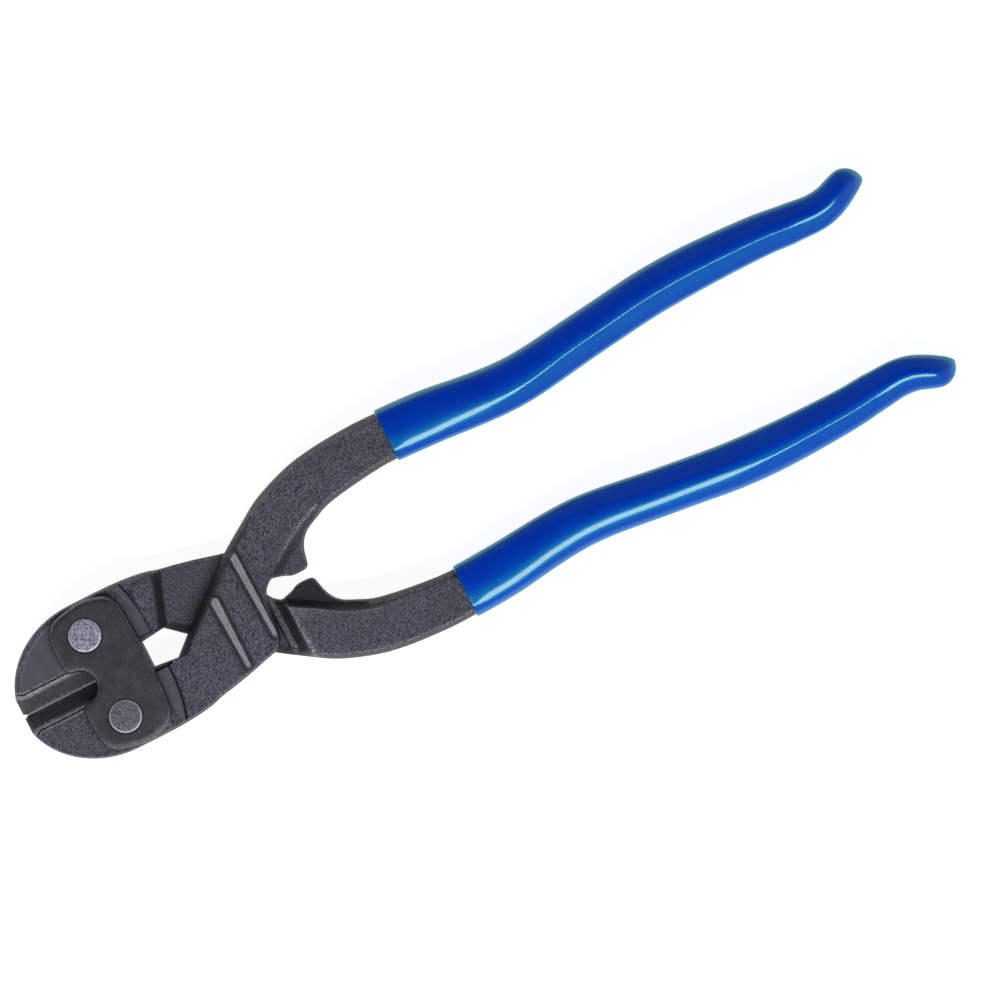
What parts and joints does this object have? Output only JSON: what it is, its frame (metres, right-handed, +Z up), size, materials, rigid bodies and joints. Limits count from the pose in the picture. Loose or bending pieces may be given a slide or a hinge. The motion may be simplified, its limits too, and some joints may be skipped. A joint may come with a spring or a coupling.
{
  "type": "lever nippers",
  "caption": "Lever nippers: lapped forged levers hinged on riveted side plates, ground jaws opening ahead of a plate slot, dipped blue handle grips.",
  "frame": {"origin": "under the middle of the tool's bounding box, on the surface that the closed tool lies on", "axes": "+X from the jaws to the handle ends, +Y across toward the handle of lever_a, +Z up, out of the front side plate and along both pivots"},
  "size_m": [0.2, 0.0494, 0.0146],
  "materials": {
    "plate_steel": "blackened, smooth satin",
    "rivet_steel": "blackened and rubbed, mottled",
    "forged_steel": "black oxide over forging scale, ground at the edges",
    "dipped_vinyl": "glossy dipped vinyl"
  },
  "bodies": {
    "head": {"side_plate_front": "plate_steel", "side_plate_rear": "plate_steel", "rivet_a": "rivet_steel", "rivet_b": "rivet_steel"},
    "arm_a": {"lever_a": "forged_steel", "grip_a": "dipped_vinyl"},
    "arm_b": {"lever_b": "forged_steel", "grip_b": "dipped_vinyl"}
  },
  "joints": [
    {"name": "pivot_a", "type": "hinge", "parent": "head", "child": "arm_a", "pos_m": [-0.0815, -0.0091, 0.0073], "axis": [0, 0, 1], "range_deg": [0, 12]},
    {"name": "pivot_b", "type": "hinge", "parent": "head", "child": "arm_b", "pos_m": [-0.0815, 0.0091, 0.0073], "axis": [0, 0, 1], "range_deg": [-12, 0]}
  ],
  "couplings": [
    {"joint": "pivot_b", "follows": "pivot_a", "ratio": -1}
  ]
}
